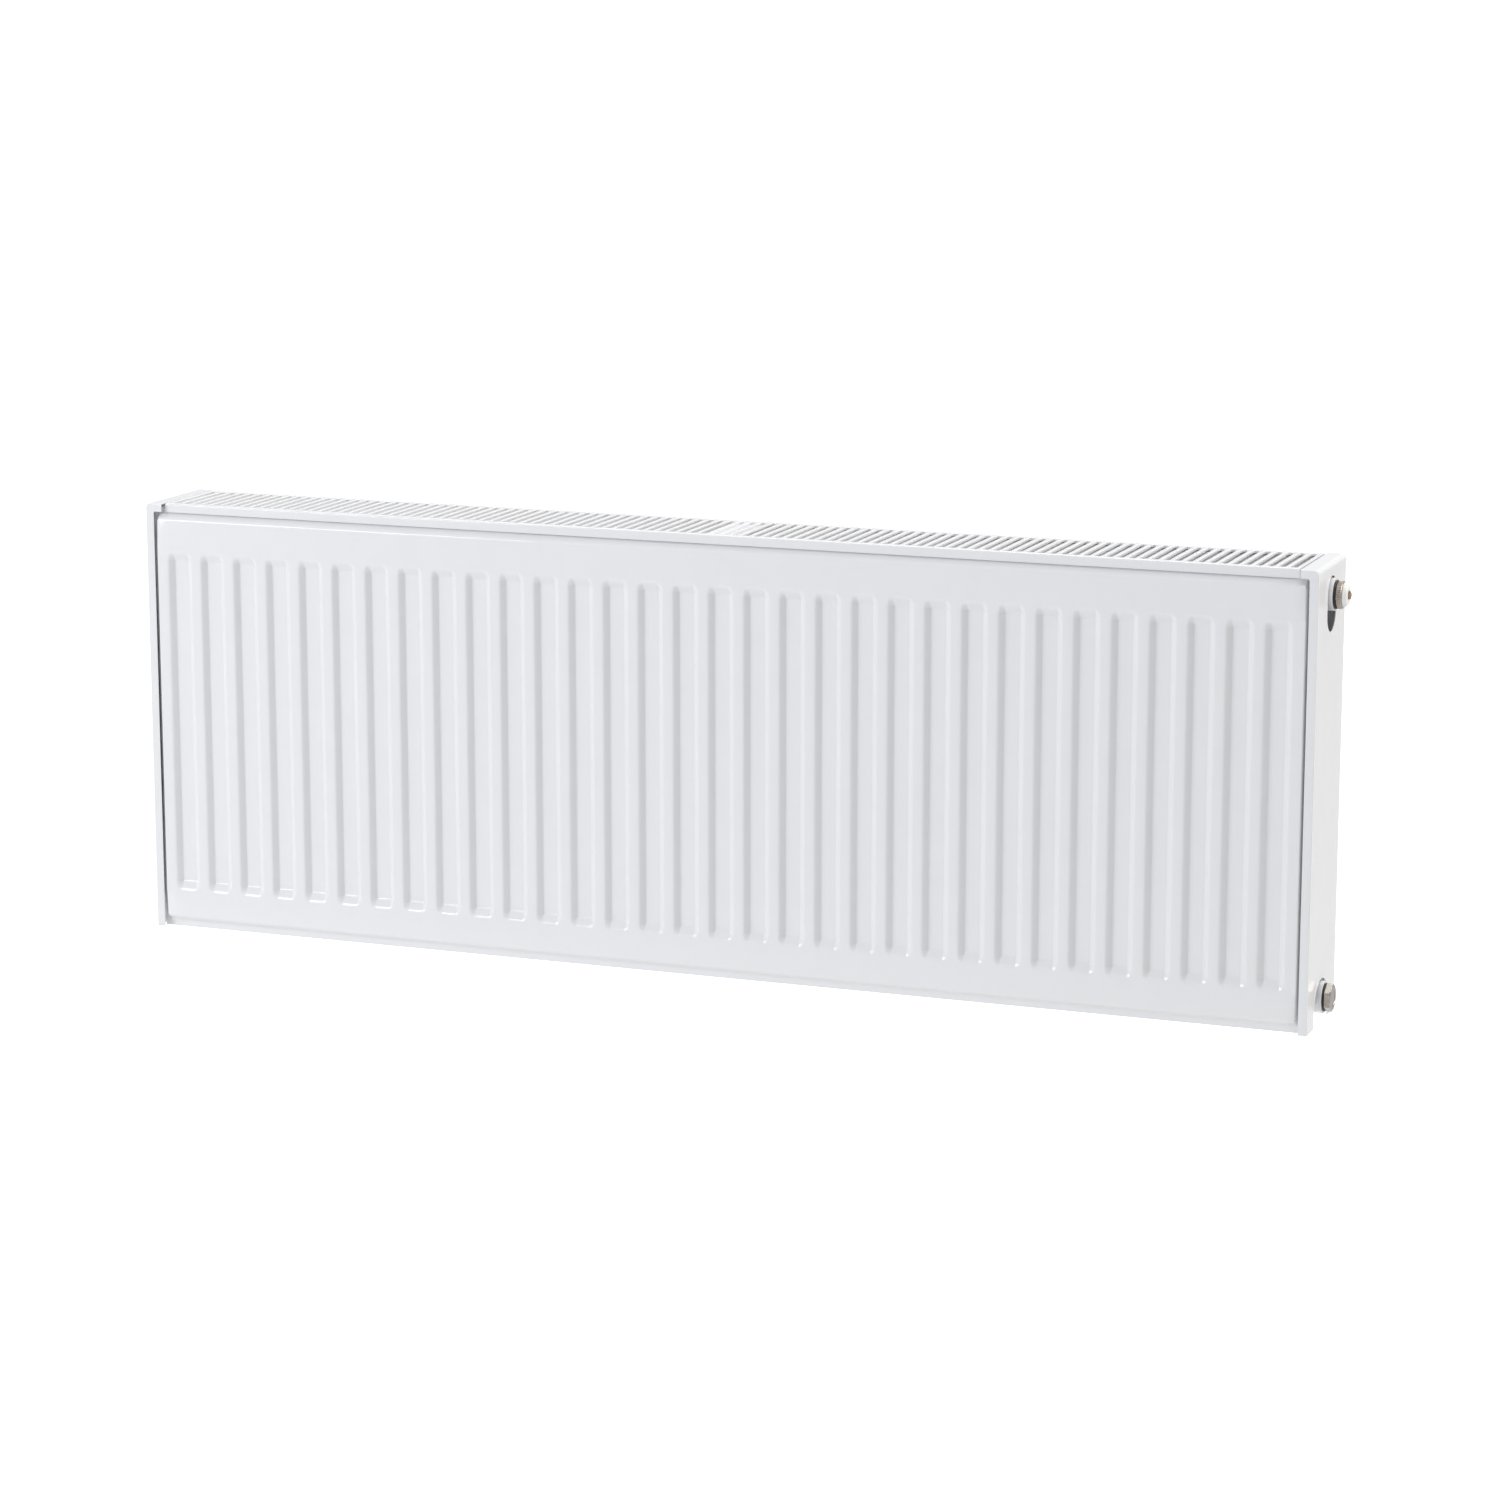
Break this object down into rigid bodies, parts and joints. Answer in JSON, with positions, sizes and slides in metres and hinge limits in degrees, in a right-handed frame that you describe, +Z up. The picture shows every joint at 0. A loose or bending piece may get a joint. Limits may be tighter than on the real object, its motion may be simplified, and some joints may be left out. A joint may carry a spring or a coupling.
{
  "type": "steel panel radiator",
  "caption": "Wall-hung steel panel radiator: two ribbed water panels with convectors between, lift-off slotted grille, unhooking side panels, tapped ends, air vent and plug.",
  "frame": {"origin": "centre of the four hanging slots, on the wall side of the lugs, at mid-length and mid-height", "axes": "+X along the length, to the right seen from the room; +Y from the room to the wall; +Z up"},
  "size_m": [1.119, 0.1104, 0.4],
  "materials": {
    "white_enamel": "gloss white stoved enamel",
    "nickel_plate": "nickel-plated brass, slightly dull",
    "seal_rubber": "matt black",
    "white_plastic": "satin white",
    "brass": "turned, dull"
  },
  "bodies": {
    "radiator": {"front_panel_outer": "white_enamel", "front_panel_inner": "white_enamel", "rear_panel_inner": "white_enamel", "rear_panel_outer": "white_enamel", "front_convector": "white_enamel", "rear_convector": "white_enamel", "connector_top_left": "white_enamel", "connector_bottom_left": "white_enamel", "connector_top_right": "white_enamel", "connector_bottom_right": "white_enamel", "hanging_lug_top_left": "white_enamel", "hanging_lug_top_right": "white_enamel", "hanging_lug_bottom_left": "white_enamel", "hanging_lug_bottom_right": "white_enamel", "grille_support": "white_enamel", "hook_bars_left": "white_enamel", "hook_bars_right": "white_enamel", "air_vent_body": "nickel_plate", "air_vent_seal": "seal_rubber", "blanking_plug": "nickel_plate", "blanking_plug_seal": "seal_rubber"},
    "grille": {"top_grille": "white_enamel"},
    "left_side": {"side_panel_left": "white_enamel", "side_hooks_left": "white_enamel"},
    "right_side": {"side_panel_right": "white_enamel", "side_hooks_right": "white_enamel"},
    "nozzle": {"vent_nozzle": "white_plastic"},
    "screw": {"bleed_screw": "brass"}
  },
  "joints": [
    {"name": "grille_lift", "type": "slide", "parent": "radiator", "child": "grille", "axis": [0, 0, 1], "range_m": [0, 0.06]},
    {"name": "left_side_lift", "type": "slide", "parent": "radiator", "child": "left_side", "axis": [0, 0, 1], "range_m": [0, 0.016]},
    {"name": "right_side_lift", "type": "slide", "parent": "radiator", "child": "right_side", "axis": [0, 0, 1], "range_m": [0, 0.016]},
    {"name": "nozzle_turn", "type": "hinge", "parent": "radiator", "child": "nozzle", "pos_m": [0.56, -0.0604, 0.1725], "axis": [1, 0, 0], "continuous": true},
    {"name": "screw_turn", "type": "hinge", "parent": "radiator", "child": "screw", "pos_m": [0.56, -0.0604, 0.1725], "axis": [1, 0, 0], "range_deg": [0, 270]}
  ]
}
